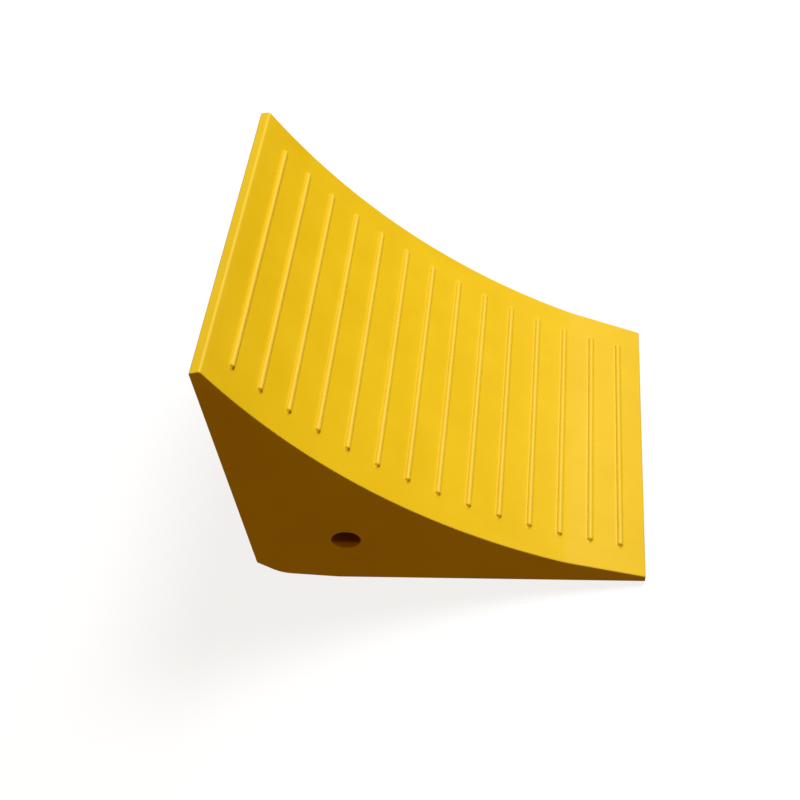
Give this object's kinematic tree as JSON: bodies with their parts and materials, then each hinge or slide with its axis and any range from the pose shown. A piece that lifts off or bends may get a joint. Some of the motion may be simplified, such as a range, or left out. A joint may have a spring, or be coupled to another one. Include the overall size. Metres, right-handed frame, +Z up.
{
  "type": "wheel chock",
  "caption": "Heavy-duty cast urethane wheel chock: a concave ramp with raised cross ribs, an undercut rear face, a rope hole through its sides and rubber pads screwed under its base.",
  "frame": {"origin": "on the ground, under the middle of the chock's length and width", "axes": "+X towards the toe, the thin end that meets the tyre; +Y across the chock, along the ribs and the rope hole; +Z up"},
  "size_m": [0.3932, 0.374, 0.2549],
  "materials": {
    "urethane": "satin",
    "pad_rubber": "matte",
    "zinc_steel": "satin",
    "insert_brass": "satin"
  },
  "bodies": {
    "root": {"chock_body": "urethane", "left_traction_pad": "pad_rubber", "right_traction_pad": "pad_rubber", "pad_screw_1": "zinc_steel", "pad_screw_2": "zinc_steel", "pad_screw_3": "zinc_steel", "pad_screw_4": "zinc_steel", "pad_screw_5": "zinc_steel", "pad_screw_6": "zinc_steel", "pad_screw_7": "zinc_steel", "pad_screw_8": "zinc_steel", "pad_washer_1": "zinc_steel", "pad_washer_2": "zinc_steel", "pad_washer_3": "zinc_steel", "pad_washer_4": "zinc_steel", "pad_washer_5": "zinc_steel", "pad_washer_6": "zinc_steel", "pad_washer_7": "zinc_steel", "pad_washer_8": "zinc_steel", "threaded_insert_1": "insert_brass", "threaded_insert_2": "insert_brass", "threaded_insert_3": "insert_brass", "threaded_insert_4": "insert_brass", "threaded_insert_5": "insert_brass", "threaded_insert_6": "insert_brass", "threaded_insert_7": "insert_brass", "threaded_insert_8": "insert_brass"}
  },
  "joints": []
}
